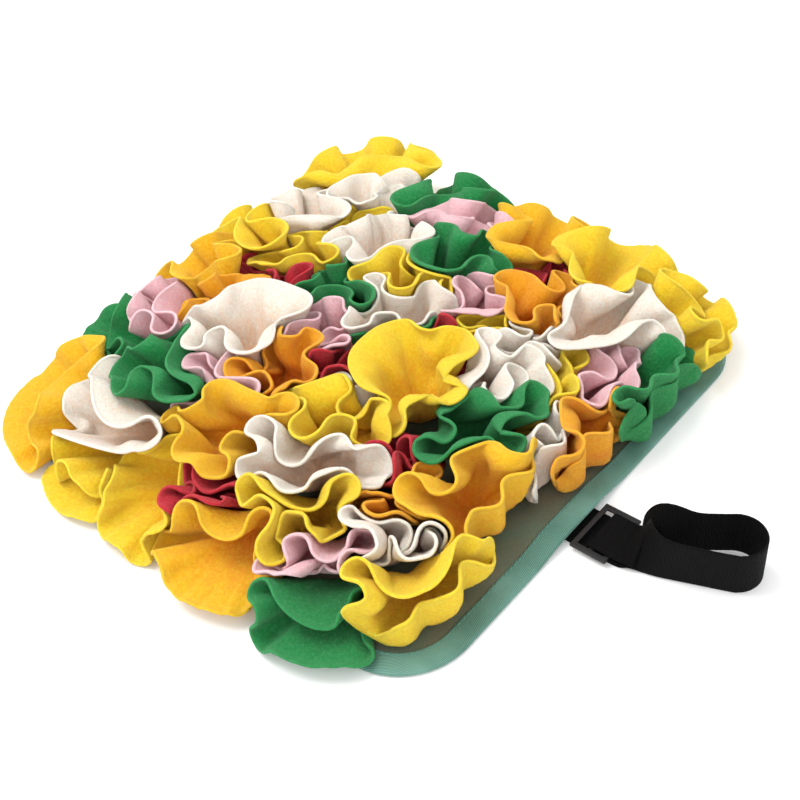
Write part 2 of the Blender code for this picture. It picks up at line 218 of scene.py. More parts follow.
# %% [markdown]
# ## The seats of the discs
# Each row is one fleece disc: its colour, where the middle of its rim stands (millimetres from
# the mat's centre), how high the rim is, how far it reaches, how many folds it has, the folds' turn
# in degrees, how deep they are, how far the rim droops on its outer side, and from -1 to 1 how
# much it spreads over its neighbours or is tucked under them.
# Between two neighbours stands an invisible flat wall. A disc that never crosses its walls can
# never cut its neighbour, however it ruffles.

# %% Disc table
DISCS = (
    ("gold_far_left", "gold", -188, -180, 44, 54, 4, 10, 0.24, 0.35, -0.2),
    ("lemon_left_low", "lemon", -112, -207, 38, 52, 4, 60, 0.30, 0.45, -0.1),
    ("cream_left_large", "cream", -122, -174, 52, 64, 4, 30, 0.34, 0.45, 0.7),
    ("green_back_left", "green", -205, -92, 46, 46, 3, 100, 0.30, 0.15, 0.0),
    ("green_left_cup", "green", -116, -124, 52, 44, 3, 40, 0.38, 0.05, 1.0),
    ("pink_left_broad", "pink", -186, -60, 54, 46, 4, 80, 0.32, 0.10, 0.3),
    ("orange_left_fold", "orange", -154, -32, 50, 36, 3, 15, 0.42, 0.05, 0.1),
    ("cream_left_double", "cream", -106, -52, 54, 44, 5, 50, 0.36, 0.00, 0.8),
    ("gold_back_petal", "gold", -200, 2, 52, 52, 4, 20, 0.30, 0.08, 0.2),
    ("red_back_small", "red", -172, 20, 48, 30, 3, 70, 0.42, 0.10, -0.5),
    ("lemon_back_leaf", "lemon", -200, 70, 54, 46, 3, 10, 0.38, 0.05, 0.3),
    ("cream_back_left", "cream", -182, 112, 54, 50, 4, 45, 0.34, 0.03, 0.4),
    ("cream_back_ridge", "cream", -134, 168, 54, 46, 4, 5, 0.34, 0.00, 0.2),
    ("lemon_back_twin", "lemon", -138, 62, 50, 40, 5, 25, 0.36, 0.05, 0.2),
    ("red_back", "red", -114, 22, 50, 34, 4, 60, 0.42, 0.00, -0.3),
    ("green_back_square", "green", -76, 44, 52, 32, 4, 20, 0.44, 0.00, -0.1),
    ("lemon_top_dome", "lemon", -172, 200, 60, 50, 5, 35, 0.24, 0.06, 0.9),
    ("green_top_lobes", "green", -86, 205, 52, 52, 4, 75, 0.32, 0.08, 0.4),
    ("lemon_back_angle", "lemon", -128, 122, 50, 38, 3, 85, 0.42, 0.05, -0.2),
    ("cream_back_bulb", "cream", -82, 112, 52, 42, 5, 10, 0.34, 0.00, 0.7),
    ("pink_back_large", "pink", -42, 174, 54, 48, 4, 40, 0.34, 0.05, 0.5),
    ("green_back_dome", "green", -22, 130, 50, 40, 4, 0, 0.34, 0.00, 0.9),
    ("gold_back_right", "gold", 20, 202, 54, 54, 4, 55, 0.30, 0.08, 0.3),
    ("lemon_right_run", "lemon", 108, 196, 52, 58, 4, 15, 0.28, 0.12, 0.6),
    ("red_right_back", "red", 62, 158, 48, 40, 5, 30, 0.42, 0.05, -0.6),
    ("orange_right_cup", "orange", 84, 118, 52, 42, 5, 65, 0.38, 0.00, 0.3),
    ("cream_right_large", "cream", 150, 136, 52, 52, 3, 20, 0.30, 0.10, 0.9),
    ("lemon_right_corner", "lemon", 180, 176, 50, 44, 4, 80, 0.32, 0.20, 0.5),
    ("green_right_leaf", "green", 208, 94, 46, 50, 3, 50, 0.36, 0.45, 1.0),
    ("pink_right_lobes", "pink", 172, 76, 50, 42, 4, 25, 0.40, 0.10, 0.4),
    ("orange_right_low", "orange", 206, 24, 46, 48, 4, 70, 0.34, 0.45, 0.4),
    ("lemon_right_fold", "lemon", 142, 46, 52, 36, 3, 60, 0.42, 0.00, -0.2),
    ("cream_right_strip", "cream", 98, 62, 54, 36, 5, 5, 0.40, 0.00, -0.2),
    ("pink_centre_back", "pink", 36, 100, 52, 34, 5, 45, 0.42, 0.00, -0.2),
    ("lemon_centre_back", "lemon", -34, 84, 54, 36, 4, 30, 0.38, 0.00, 0.1),
    ("cream_centre_cup", "cream", -18, 46, 54, 38, 4, 70, 0.36, 0.00, -0.1),
    ("green_rosette", "green", 12, 18, 52, 26, 5, 15, 0.44, 0.00, -0.7),
    ("lemon_centre_loops", "lemon", 62, -14, 56, 44, 5, 50, 0.40, 0.00, 1.0),
    ("cream_centre_right", "cream", 102, 14, 54, 40, 5, 20, 0.38, 0.00, 0.5),
    ("green_centre_cup", "green", 128, -26, 54, 44, 4, 65, 0.38, 0.00, 0.9),
    ("cream_right_band", "cream", 176, -16, 48, 44, 4, 35, 0.38, 0.15, 0.2),
    ("red_front_rosette", "red", 96, -72, 54, 36, 5, 10, 0.44, 0.00, -0.7),
    ("red_centre_rosette", "red", -6, -30, 52, 32, 5, 55, 0.44, 0.00, -0.4),
    ("pink_centre", "pink", -48, -10, 52, 38, 4, 80, 0.40, 0.00, -0.3),
    ("lemon_centre", "lemon", 34, -82, 54, 42, 5, 30, 0.40, 0.00, 0.2),
    ("orange_centre_left", "orange", -52, -66, 52, 36, 5, 0, 0.42, 0.00, 0.2),
    ("pink_left_salmon", "pink", -72, -108, 50, 38, 4, 45, 0.40, 0.00, 0.3),
    ("gold_left_loops", "gold", -30, -142, 52, 42, 5, 70, 0.40, 0.00, 0.5),
    ("cream_front_curves", "cream", 46, -126, 54, 42, 6, 20, 0.40, 0.00, 0.5),
    ("red_left_front", "red", 2, -186, 48, 40, 5, 60, 0.42, 0.10, -0.1),
    ("lemon_front_fold", "lemon", 72, -168, 52, 40, 4, 15, 0.42, 0.05, 0.3),
    ("pink_front_loops", "pink", 116, -182, 48, 44, 4, 40, 0.42, 0.15, 0.2),
    ("lemon_left_front", "lemon", -42, -206, 40, 52, 4, 25, 0.34, 0.35, 0.2),
    ("gold_front_large", "gold", 42, -212, 38, 60, 4, 75, 0.26, 0.40, 0.6),
    ("green_front", "green", 138, -210, 36, 54, 4, 5, 0.38, 0.45, 0.7),
    ("orange_front_spiral", "orange", 124, -114, 52, 34, 5, 35, 0.44, 0.00, -0.4),
    ("cream_front_small", "cream", 150, -142, 50, 42, 5, 85, 0.42, 0.05, 0.0),
    ("gold_right_front", "gold", 174, -82, 50, 58, 5, 45, 0.36, 0.35, 0.9),
    ("lemon_front_corner", "lemon", 184, -170, 42, 60, 5, 20, 0.34, 0.45, 0.9),
    ("red_under_rim", "red", 56, 34, 50, 26, 4, 20, 0.40, 0.00, -0.6),
    ("cream_small", "cream", 14, -62, 50, 28, 4, 50, 0.40, 0.00, -0.5),
    ("lemon_small", "lemon", 62, 68, 50, 26, 4, 70, 0.40, 0.00, -0.5),
)
# how far out a rim and a foot may stand, and how much nearer the middle a foot is than its rim
RIM_LIMIT = 0.212
FOOT_LIMIT = 0.180
FOOT_SHARE = 0.88
# rims stand a little taller than the table says; a disc leans from its foot to its rim
STAND = 1.08
FOOT_RADIUS = 0.006
FOOT_Z = 0.0046
LEAN_HEIGHT = 0.050
FLEECE = 0.0027
WALL_GAP = 0.0019
MAT_TOP = 0.0042

table = np.array([row[2:] for row in DISCS], dtype=float)
rims = np.clip(table[:, :2] * MM, -RIM_LIMIT, RIM_LIMIT)
feet = np.clip(rims * FOOT_SHARE, -FOOT_LIMIT, FOOT_LIMIT)
heights, reaches = table[:, 2] * MM * STAND, table[:, 3] * MM
folds, phases, depths = table[:, 4], np.radians(table[:, 5]), table[:, 6]
droops, ranks = table[:, 7], table[:, 8]
COUNT = len(DISCS)
print("discs", COUNT)

# %% The lifted rim, where the strap leaves
LIFT_HEIGHT = 0.0042
LIFT_START_X = 0.160
LIFT_RUN_X = 0.034
LIFT_START_Y = -0.0835
LIFT_FADE_Y = 0.0278
DISC_LIFT_SPREAD = 0.01


def lift(x, y, spread=0.0):
    """How far the mat is raised off the floor; works on whole arrays of points."""
    along = np.clip((x - LIFT_START_X + spread) / LIFT_RUN_X, 0, 1)
    below = np.clip((y - LIFT_START_Y + spread) / LIFT_FADE_Y, 0, 1)
    above = np.clip((y - spread) / LIFT_FADE_Y, 0, 1)
    return LIFT_HEIGHT * along * below * (1 - above)


print("lift at the strap", round(float(lift(0.22, -0.03)) * 1000, 1), "mm")

# %% Walls between neighbours
NEAR_WALLS = 14
OVERHANG = 0.012
FREE = 1.0
SIDE_ZONE = 0.1
CORNER_ZONE = 0.16
# on the side with the strap the petals leave the binding free: y of a disc, then its farthest x
SHORE_Y = (-0.21, -0.17, -0.13, -0.09, -0.03, 0.02, 0.06, 0.17)
SHORE_X = (0.236, 0.232, 0.224, 0.213, 0.208, 0.230, 0.240, 0.250)
# at the corner beside it: how far from the mat's middle, along the line to that corner
CORNER_SHORE = 0.295
# the limit is wavy, so that the petals that meet it don't end in one flat front
SHORE_WAVE = 0.006
SHORE_RIPPLE = 2 * math.pi / 0.037


def walls_between():
    """For each disc, its walls: direction x and y, place at the floor, place at the lean height.

    The last two slots are the limits on the side with the strap and at the corner beside it."""
    result = np.zeros((COUNT, NEAR_WALLS + 2, 4))
    for number in range(COUNT):
        apart = (rims - rims[number]) + (feet - feet[number])
        distance = np.linalg.norm(apart, axis=1)
        nearest = np.argsort(distance)[1:NEAR_WALLS + 1]
        for slot, other in enumerate(nearest):
            normal = apart[other] / distance[other]
            share = reaches[number] / (reaches[number] + reaches[other])
            low = (feet[number] + (feet[other] - feet[number]) * share) @ normal
            high = (rims[number] + (rims[other] - rims[number]) * share) @ normal
            high += OVERHANG * (ranks[number] - ranks[other])
            result[number, slot] = (normal[0], normal[1], low, high)
        x, y = rims[number]
        shore = np.interp(y, SHORE_Y, SHORE_X) if x > SIDE_ZONE else FREE
        result[number, -2] = (1.0, 0.0, shore, shore)
        corner = CORNER_SHORE if x > CORNER_ZONE and y < -SIDE_ZONE else FREE
        result[number, -1] = (math.sqrt(0.5), -math.sqrt(0.5), corner, corner)
    return result


walls = walls_between()
print("walls", walls.shape)


# %% [markdown]
# ## Cutting and gathering the fleece
# A flat disc has a rim far longer than the small circle that it must stand in, and that spare
# length is what makes ruffles. Sculpting 62 of them by hand would be endless, so we let the
# cloth find its folds: we begin with short, gently waved cups, and let every thread grow to its
# true length while the cloth keeps its stiffness, keeps off itself and stays within its walls.

# %% The first, gently waved cups
RINGS = 13
AROUND = 88
FULLNESS = 1.25
FOLD_SEED = 1.5
# a disc whose rim stands farther out than this may spread over the mat's edge
EDGE_ZONE = 0.172
random = np.random.default_rng(7)

turns = np.linspace(0, 2 * math.pi, AROUND, endpoint=False)
rise = np.linspace(0, 1, RINGS)[:, None]


def axis_place(number, z):
    """Where the leaning axis of a disc stands at each height."""
    share = (z - FOOT_Z) / LEAN_HEIGHT
    return feet[number] + (rims[number] - feet[number]) * share[..., None]


def free_room(number, directions, z):
    """How far a point may go from the axis before it meets a wall."""
    share = ((z - FOOT_Z) / LEAN_HEIGHT)[None]
    centre = axis_place(number, z)
    nx, ny, low, high = (walls[number, :, k][:, None, None] for k in range(4))
    facing = nx * directions[None, None, :, 0] + ny * directions[None, None, :, 1]
    gap = low + (high - low) * share - nx * centre[None, ..., 0] - ny * centre[None, ..., 1] - WALL_GAP
    room = np.where(facing > 0.05, gap / np.maximum(facing, 0.05), 1.0)
    return room.min(axis=0)


def anywhere():
    """A place on a wave."""
    return random.uniform(0, 6.28)


def first_cup(number):
    """A waved cup on a small foot, as rings of points."""
    edge = np.abs(rims[number]).max() > EDGE_ZONE
    reach = reaches[number] * (1.0 if edge else FULLNESS)
    warp = 0.25 * np.sin(turns + anywhere()) + 0.12 * np.sin(2 * turns + anywhere())
    lobe = folds[number] * (turns + warp) + phases[number]
    wave = 0.5 - 0.5 * np.cos(lobe)
    strength = 1 + 0.3 * np.sin(turns * 2 + anywhere())
    directions = np.stack([np.cos(turns), np.sin(turns)], axis=1)
    out = rims[number] / max(np.linalg.norm(rims[number]), 1e-3)
    facing_out = np.maximum(0, directions @ out)
    rim_z = heights[number] * (1 - droops[number] * facing_out ** 1.5)
    rim_z = rim_z + 0.005 * np.sin(3 * turns + anywhere()) - 0.004 * wave
    profile = rise ** 0.85
    z = FOOT_Z + (rim_z[None] - FOOT_Z) * profile
    free = free_room(number, directions, z)
    wanted = FOOT_RADIUS + (reach - FOOT_RADIUS) * rise ** 0.9
    radius = (wanted ** -6 + np.maximum(free, 0.004) ** -6) ** (-1 / 6)
    shrink = 1 - np.minimum(0.86, FOLD_SEED * depths[number] * strength) * wave * np.minimum(1, rise * 1.6)
    radius = np.maximum(radius * shrink, FOOT_RADIUS)
    radius[0] = FOOT_RADIUS
    place = axis_place(number, z)
    twist = 0.35 * rise * math.sin(number * 1.7)
    angle = turns[None] + twist
    cup = np.empty((RINGS, AROUND, 3))
    cup[..., 0] = place[..., 0] + radius * np.cos(angle)
    cup[..., 1] = place[..., 1] + radius * np.sin(angle)
    cup[..., 2] = z
    return cup


cups = np.stack([first_cup(number) for number in range(COUNT)])
print("points to relax", cups.shape[0] * RINGS * AROUND)

# %% Let the cloth grow to its true length
GROW_STEPS = 260
SETTLE_STEPS = 60
# least distance between two points of one disc, and of two discs
OWN_GAP = 0.0043
OTHER_GAP = 0.0056
CONTACT_SHARE = 0.4
# walls stand still for this share of the growth, then open until petals may overlap this far
WALLS_HOLD = 0.35
OVERLAP = 0.028
# a disc of high rank is nudged up at each step, one of low rank down
RANK_RISE = 0.00005
# share of a flat disc's ring lengths, and how much longer than the first cup its radius grows
RING_SHARE_EDGE = 0.92
RING_SHARE_INNER = 0.82
EDGE_SPREAD = 1.10
DROOP_SPREAD = 0.35
INNER_SPREAD = 1.24
# nudges at each step: drooping sides, all of the cup, its rim, and gravity
OUTWARD_PUSH = 0.00035
OPENING_PUSH = 0.000015
FLARE_PUSH = 0.00016
WEIGHT = 0.00002
# stiffness of threads, of the weave against shear, and against bending round and up
THREAD_STIFFNESS = 0.9
SHEAR_STIFFNESS = 0.12
BEND_SPAN = 6
BEND_SHARE = 0.90
BEND_STIFFNESS = 0.07
RISE_SHARE = 1.98
RISE_STIFFNESS = 0.2
CEILING = 0.062
# past this distance from the middle a petal may hang down beside the mat
MAT_REACH = 0.229
MAT_CLEAR = 0.0006
FLOOR_CLEAR = 0.001
TINY = 1e-9


def size_of(apart):
    """Lengths of vectors, never quite nothing."""
    return np.sqrt((apart ** 2).sum(-1)) + TINY


def pull(cloth, first, second, rest):
    """Move two sets of points towards their rest distance."""
    apart = cloth[second] - cloth[first]
    length = size_of(apart)
    error = (length - rest) / length
    change = apart * (0.5 * THREAD_STIFFNESS * error)[..., None]
    cloth[first] += change
    cloth[second] -= change


def correction(apart, rest, stiffness, only_short=True):
    """How far to move the ends of each span towards its rest length."""
    length = size_of(apart)
    gap = np.minimum(length - rest, 0) if only_short else length - rest
    return apart * (stiffness * gap / length)[..., None]


def keep_inside(cloth, wall_gap):
    """Push every point back behind its walls, above the mat and under the ceiling."""
    share = (cloth[..., 2] - FOOT_Z) / LEAN_HEIGHT
    for slot in range(NEAR_WALLS + 2):
        nx, ny, low, high = (walls[:, slot, k][:, None, None] for k in range(4))
        beyond = cloth[..., 0] * nx + cloth[..., 1] * ny - (low + (high - low) * share)
        if slot >= NEAR_WALLS:
            beyond += SHORE_WAVE * np.sin(cloth[..., 1] * SHORE_RIPPLE)
        if wall_gap < 0 and slot < NEAR_WALLS:
            beyond += wall_gap * np.clip(share, 0, 1)
        else:
            beyond += abs(wall_gap)
        beyond = np.maximum(beyond, 0)
        cloth[..., 0] -= beyond * nx
        cloth[..., 1] -= beyond * ny
    edge = np.maximum(np.abs(cloth[..., 0]), np.abs(cloth[..., 1]))
    ground = np.where(edge < MAT_REACH, MAT_TOP + FLEECE / 2 + MAT_CLEAR, FLEECE / 2 + FLOOR_CLEAR)
    np.clip(cloth[..., 2], ground, CEILING, out=cloth[..., 2])


FREE_RINGS = 3
moving = np.indices((COUNT, RINGS - FREE_RINGS, AROUND)).reshape(3, -1)
BESIDE = (-1, 0, 1)
HALF_OF_NEIGHBOURS = [(x, y, z) for x in BESIDE for y in BESIDE for z in BESIDE if (x, y, z) >= (0, 0, 0)]
# boxes are numbered from well outside the mat, and a box's key packs its three numbers
BOX_ORIGIN = 100
KEY_X = 256
KEY_Y = 64
# points this near along the same cloth are held apart by its threads
OWN_AROUND = 4
OWN_RINGS = 3


def keep_apart(cloth):
    """Push apart any two points that come too close; a grid of small boxes finds them."""
    points = cloth[:, FREE_RINGS:].reshape(-1, 3)
    boxes = np.floor(points / OTHER_GAP).astype(np.int64) + BOX_ORIGIN
    keys = (boxes[:, 0] * KEY_X + boxes[:, 1]) * KEY_Y + boxes[:, 2]
    order = np.argsort(keys, kind="stable")
    sorted_keys = keys[order]
    first_list, second_list = [], []
    for x, y, z in HALF_OF_NEIGHBOURS:
        target = sorted_keys + (x * KEY_X + y) * KEY_Y + z
        low = np.searchsorted(sorted_keys, target, "left")
        high = np.searchsorted(sorted_keys, target, "right")
        if (x, y, z) == (0, 0, 0):
            low = np.arange(len(points)) + 1
        for step in range(int((high - low).max())):
            chosen = np.nonzero(low + step < high)[0]
            first_list.append(order[chosen])
            second_list.append(order[low[chosen] + step])
    first, second = np.concatenate(first_list), np.concatenate(second_list)
    apart = points[second] - points[first]
    length = size_of(apart)
    same = moving[0][first] == moving[0][second]
    around = np.abs(moving[2][first] - moving[2][second])
    around = np.minimum(around, AROUND - around)
    rings_off = np.abs(moving[1][first] - moving[1][second])
    least = np.where(same, OWN_GAP, OTHER_GAP)
    counted = (length < least) & ~(same & (around < OWN_AROUND) & (rings_off < OWN_RINGS))
    first, second = first[counted], second[counted]
    change = apart[counted] * (CONTACT_SHARE * (least - length) / length)[counted, None]
    total = len(points)
    for axis in range(3):
        part = change[:, axis]
        points[:, axis] += np.bincount(second, part, total) - np.bincount(first, part, total)
    cloth[:, FREE_RINGS:] = points.reshape(COUNT, RINGS - FREE_RINGS, AROUND, 3)


every = slice(None)
path = np.sqrt((np.diff(cups, axis=1) ** 2).sum(-1)).sum(axis=1).mean(axis=1)
is_edge = np.abs(rims).max(axis=1) > EDGE_ZONE
radial_start = path.copy()
path = path * np.where(is_edge, EDGE_SPREAD + DROOP_SPREAD * droops, INNER_SPREAD)
flat_radius = FOOT_RADIUS + path[:, None] * rise[:, 0][None]
outward = rims / np.linalg.norm(rims, axis=1, keepdims=True)
ring_share = np.where(is_edge, RING_SHARE_EDGE, RING_SHARE_INNER)
ring_full = 2 * math.pi * flat_radius * ring_share[:, None] / AROUND
around_now = np.sqrt(((np.roll(cups, -1, axis=2) - cups) ** 2).sum(-1)).mean(axis=2)
ring_start = np.minimum(around_now, ring_full)
even = np.arange(0, AROUND, 2)
odd = np.arange(1, AROUND, 2)
after_odd = (odd + 1) % AROUND
pinned = cups[:, 0].copy()
flare = rise[None, FREE_RINGS:, :, None] ** 3
cloth = cups.copy()
for step in range(GROW_STEPS + SETTLE_STEPS):
    grown = min(1.0, (step + 1) / GROW_STEPS)
    ring_rest = (ring_start + (ring_full - ring_start) * grown)[..., None]
    radial_rest = ((radial_start + (path - radial_start) * grown) / (RINGS - 1))[:, None, None]
    cloth[:, FREE_RINGS:, :, 2] += RANK_RISE * ranks[:, None, None] - WEIGHT
    from_axis = cloth[:, FREE_RINGS:, :, :2] - feet[:, None, None]
    from_axis /= np.linalg.norm(from_axis, axis=-1, keepdims=True) + TINY
    facing_out = np.maximum((from_axis * outward[:, None, None]).sum(-1, keepdims=True), 0)
    opened = min(1.0, max(0.0, grown - WALLS_HOLD) / (1 - WALLS_HOLD))
    push = OPENING_PUSH + OUTWARD_PUSH * facing_out * (droops * is_edge)[:, None, None, None]
    cloth[:, FREE_RINGS:, :, :2] += from_axis * (push + FLARE_PUSH * opened * flare)
    pull(cloth, (every, every, even), (every, every, even + 1), ring_rest)
    pull(cloth, (every, every, odd), (every, every, after_odd), ring_rest)
    pull(cloth, (every, slice(0, -1, 2)), (every, slice(1, None, 2)), radial_rest)
    pull(cloth, (every, slice(1, -1, 2)), (every, slice(2, None, 2)), radial_rest)
    ring_low, ring_high = ring_rest[:, :-1], ring_rest[:, 1:]
    slant = np.sqrt(((ring_low + ring_high) / 2) ** 2 + radial_rest ** 2)
    for shift in (1, -1):
        apart = np.roll(cloth[:, 1:], -shift, axis=2) - cloth[:, :-1]
        change = correction(apart, slant, SHEAR_STIFFNESS, False)
        cloth[:, :-1] += change
        cloth[:, 1:] -= np.roll(change, shift, axis=2)
    apart = np.roll(cloth, -BEND_SPAN, axis=2) - cloth
    change = correction(apart, BEND_SPAN * BEND_SHARE * ring_rest, BEND_STIFFNESS)
    cloth += change
    cloth -= np.roll(change, BEND_SPAN, axis=2)
    change = correction(cloth[:, 2:] - cloth[:, :-2], RISE_SHARE * radial_rest, RISE_STIFFNESS)
    cloth[:, :-2] += change
    cloth[:, 2:] -= change
    if step % 2 == 0 or opened > 0:
        keep_apart(cloth)
    keep_inside(cloth, WALL_GAP - OVERLAP * opened)
    cloth[:, 0] = pinned
rim_step = np.sqrt(((np.roll(cloth[:, -1], -1, axis=1) - cloth[:, -1]) ** 2).sum(-1)).mean(axis=1)
print("rim length reached, as a share:", round(float((rim_step / ring_full[:, -1]).mean()), 3))
print("tallest", round(cloth[..., 2].max(), 4))

# %% [markdown]
# ## From threads to cloth
# The relaxed points are a coarse net. We double it both ways with a smooth midpoint rule, then give
# it a top and an under side, and roll the cut rim over with a few extra rings, because fleece has a
# thick soft edge that catches the light. The under side hardly shows, so half the rings do there.

# %% Double the net smoothly
def halfway(points, axis, closed):
    """Put a smooth new point between each pair along one axis."""
    points = np.moveaxis(points, axis, 0)
    if closed:
        before, near, after, far = (np.roll(points, step, 0) for step in (1, 0, -1, -2))
    else:
        padded = np.concatenate([2 * points[:1] - points[1:2], points, 2 * points[-1:] - points[-2:-1]])
        before, near, after, far = padded[:-3], padded[1:-2], padded[2:-1], padded[3:]
    result = np.empty((len(points) + len(near),) + points.shape[1:])
    result[0::2], result[1::2] = points, (9 * (near + after) - before - far) / 16
    return np.moveaxis(result, 0, axis)


def smoothed(points, share):
    """Ease each point towards the middle of its neighbours, but hold the foot."""
    result = points.copy()
    around = (np.roll(points, 1, 1) + np.roll(points, -1, 1)) / 2
    result += share * (around - points)
    result[1:-1] += share * ((points[:-2] + points[2:]) / 2 - points[1:-1])
    return result


SMOOTH_COARSE = 0.35
SMOOTH_FINE = 0.3
fine = []
for number in range(COUNT):
    net = smoothed(cloth[number], SMOOTH_COARSE)
    net = halfway(halfway(net, 1, True), 0, False)
    net = smoothed(net, SMOOTH_FINE)
    net[..., 2] += lift(net[..., 0], net[..., 1], DISC_LIFT_SPREAD)
    fine.append(net)
print("fine net", fine[0].shape)

# %% Cloth with two sides and a rolled rim
RIM_STEPS = 5


def surface_normals(net):
    """Unit normals of a net of rings, pointing to its upper, inner side."""
    around = np.roll(net, -1, 1) - np.roll(net, 1, 1)
    outward = np.gradient(net, axis=0)
    normal = np.cross(outward, around)
    return normal / (np.linalg.norm(normal, axis=-1, keepdims=True) + 1e-12)


def cloth_piece(name, net, flat, thick):
    """A closed sheet from a net of rings: upper side, rolled rim, under side, and both middles."""
    rings, count = net.shape[:2]
    normal = surface_normals(net)
    half = thick / 2
    rows = [net[k] + normal[k] * half for k in range(rings - 1)]
    # the marks give each ring its share of the painted highlight along the cut rim, and the depths its share
    # of the painted shade, 1 at the foot and 0 at the rim
    marks = [0.0] * (rings - 3) + [0.35, 0.7]
    shade_depths = [1 - k / (rings - 1) for k in range(rings - 1)]
    flats = [flat[k] for k in range(rings - 1)]
    outward = net[-1] - net[-2]
    outward /= np.linalg.norm(outward, axis=-1, keepdims=True) + 1e-12
    for step in range(RIM_STEPS):
        angle = math.pi * step / (RIM_STEPS - 1)
        rolled = normal[-1] * math.cos(angle) + outward * math.sin(angle)
        rows.append(net[-1] - outward * half + rolled * half)
        marks.append(1.0)
        shade_depths.append(0.0)
        flats.append(flat[-1] + step * thick / 4)
    below = list(range(rings - 2, 0, -2)) + [0]
    rows += [net[k] - normal[k] * half for k in below]
    marks += [marks[k] for k in below]
    shade_depths += [shade_depths[k] for k in below]
    flats += [flats[k] for k in below]
    points = np.concatenate(rows + [rows[0].mean(0)[None], rows[-1].mean(0)[None]])
    faces = band_faces(len(rows), count)
    top, under = len(points) - 2, len(points) - 1
    last = (len(rows) - 1) * count
    faces += [[top, (k + 1) % count, k] for k in range(count)]
    faces += [[under, last + k, last + (k + 1) % count] for k in range(count)]
    angle = np.tile(np.linspace(0, 2 * math.pi, count, endpoint=False), len(rows))
    reach = np.repeat(np.array(flats), count)
    laid = np.zeros((len(points), 3), dtype=np.float32)
    laid[:-2, 0], laid[:-2, 1] = reach * np.cos(angle), reach * np.sin(angle)
    mark = np.zeros(len(points), dtype=np.float32)
    mark[:-2] = np.repeat(np.array(marks), count)
    shade_depth = np.ones(len(points), dtype=np.float32)
    shade_depth[:-2] = np.repeat(np.array(shade_depths), count)
    return closed_piece(name, points.tolist(), faces, {"laid_flat": laid, "cut_rim": mark, "depth_in": shade_depth})


# %% Make every disc
made = {}
fine_flat = np.linspace(0, 1, fine[0].shape[0])
for number, row in enumerate(DISCS):
    flat = FOOT_RADIUS + path[number] * fine_flat
    made[row[0]] = cloth_piece("fleece_" + row[0], fine[number], flat, FLEECE)
triangles = sum(2 * len(piece.data.polygons) for piece in made.values())
print("disc pieces", len(made), "triangles", triangles)


# %% [markdown]
# ## Brushed fleece
# Fleece is matt and slightly furry: its pile catches light at the edges, and light that goes in
# among the fibres comes out warmer. Sheen and a little scattering do part of that; the rest is
# painted: the cut rim and the pile's tips get a painted highlight, and the pile's hollows and the
# deep part of each cup a warmer, darker painted shade. A soft noise breaks up the colour, a finer one
# roughens it.

# %% Fleece colours
# the cloth's colour, its painted shade colour for folds and the deep part of each cup, and how far each of
# red, green and blue scatters
FLEECE_COLOURS = {
    "lemon": ((0.98, 0.68, 0.018), (0.97, 0.46, 0.004), (1.0, 0.30, 0.05)),
    "gold": ((0.98, 0.55, 0.006), (0.97, 0.33, 0.002), (1.0, 0.25, 0.05)),
    "orange": ((0.98, 0.42, 0.003), (0.95, 0.22, 0.002), (1.0, 0.20, 0.04)),
    "cream": ((0.98, 0.88, 0.77), (1.0, 0.64, 0.42), (1.0, 0.45, 0.28)),
    "pink": ((0.95, 0.58, 0.62), (0.95, 0.36, 0.35), (1.0, 0.35, 0.35)),
    "green": ((0.008, 0.26, 0.060), (0.003, 0.15, 0.030), (0.1, 0.6, 0.15)),
    "red": ((0.55, 0.007, 0.022), (0.34, 0.003, 0.012), (1.0, 0.1, 0.08)),
}
SCATTER_DEPTH = 0.003
PILE_DEPTH = 0.0028
# how dark the painted shade in the pile's hollows is, as a share of the fold shade colour
PIT_SHADE = 0.84
# feature counts per metre, for patches, tufts and single hairs
CLOUD_SCALE = 70.0
PILE_SCALE = 340.0
FUZZ_SCALE = 1300.0


def brushed_fleece(colour):
    """A furry matt cloth in one colour, with painted shade in its folds and pile hollows, and painted
    highlight on its pile tips and cut rim.
    """
    main, shade, scatter = FLEECE_COLOURS[colour]
    paint = Paint("fleece_" + colour)
    laid = paint.attribute("laid_flat", "Vector")
    clouds = paint.noise(laid, CLOUD_SCALE, 3.0, 0.6)
    pile = paint.noise(laid, PILE_SCALE, 4.0, 0.75)
    fuzz = paint.noise(laid, FUZZ_SCALE, 2.0, 0.7)
    rim = paint.attribute("cut_rim")
    shade_depth = paint.attribute("depth_in")
    # painted highlight: a paler copy of the colour, laid on the pile's tips and along the cut rim
    highlight_colour = tuple(min(1.0, c * 1.10 + 0.05) for c in main)
    # painted shade: a darker fold colour, laid in the pile's hollows
    hollow_shade = tuple(c * PIT_SHADE for c in shade)
    # painted shade: the fold colour, stronger towards the foot of each cup, broken up at random by clouds
    body = paint.mix(((clouds - 0.42) * 1.6 + shade_depth * 1.3 - 0.35).clamped(), main, shade)
    # painted shade in the pile's hollows, where the bump is low
    body = paint.mix(((0.52 - pile) * 5.0 + (0.5 - fuzz) * 3.0).clamped() * 0.42, body, hollow_shade)
    # painted highlight on the pile's tips, where the bump is high
    body = paint.mix(((pile - 0.5) * 5.0 + (fuzz - 0.5) * 2.0).clamped() * 0.65, body, highlight_colour)
    # painted highlight along the cut rim
    body = paint.mix(rim * 0.35, body, highlight_colour)
    height = pile + fuzz * 0.55 + clouds * 0.5
    normal = paint.bump(height, 1.0, PILE_DEPTH)
    return paint.finish(Base_Color=body, Roughness=0.95, Normal=normal, Sheen_Weight=0.12,
                        Sheen_Roughness=0.5, Subsurface_Weight=0.20, Subsurface_Radius=scatter,
                        Subsurface_Scale=SCATTER_DEPTH, Specular_IOR_Level=0.15)


